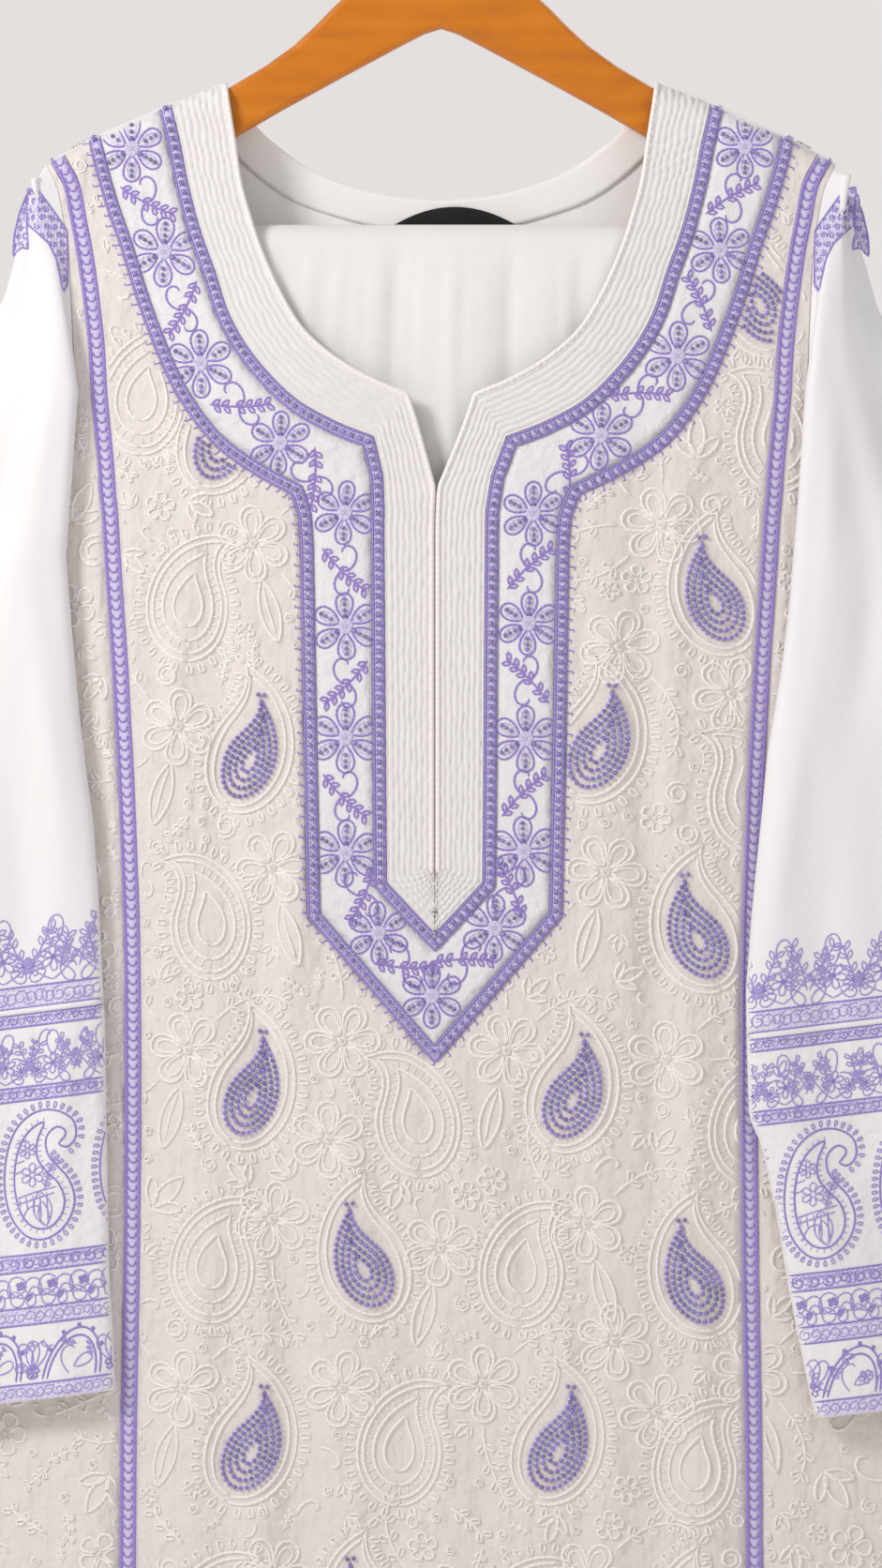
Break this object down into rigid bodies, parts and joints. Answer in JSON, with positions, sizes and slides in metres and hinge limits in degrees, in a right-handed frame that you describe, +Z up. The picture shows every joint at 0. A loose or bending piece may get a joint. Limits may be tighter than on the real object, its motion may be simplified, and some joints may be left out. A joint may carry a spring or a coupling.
{
  "type": "kurta and pants set on a wooden hanger",
  "caption": "Long-sleeved kurta with a corded yoke, beaded border and side seam strips, hung on a wooden hanger with its pants folded over the bar.",
  "frame": {"origin": "inside top of the hanger's hook, where a rail carries it", "axes": "+Z up, -Y towards the front of the garment, +X to the viewer's right"},
  "size_m": [0.6016, 0.0562, 1.1986],
  "materials": {
    "cloth": "warm white woven cloth with white cord embroidery",
    "sleeve": "cool white fine satin twill",
    "trim": "lavender thread embroidery with beads",
    "pants": "plain white cloth",
    "label": "plain black woven label",
    "wood": "varnished honey wood",
    "steel": "polished"
  },
  "bodies": {
    "root": {"kurta_front_centre": "cloth", "kurta_front_side_left": "cloth", "kurta_front_side_right": "cloth", "kurta_back": "cloth", "neck_yoke_left": "cloth", "neck_yoke_right": "cloth", "neck_trim_inner": "trim", "neck_trim_outer": "trim", "neck_border": "cloth", "seam_strip_left": "trim", "seam_strip_right": "trim", "sleeve_left": "sleeve", "sleeve_right": "sleeve", "sleeve_border_left": "sleeve", "sleeve_border_right": "sleeve", "back_neck_facing": "cloth", "neck_label": "label", "pant_leg_left": "pants", "pant_leg_right": "pants", "pant_waistband": "pants", "hanger_arms": "wood", "hanger_bar": "wood", "hook_collar": "steel", "hanger_hook": "steel"}
  },
  "joints": []
}
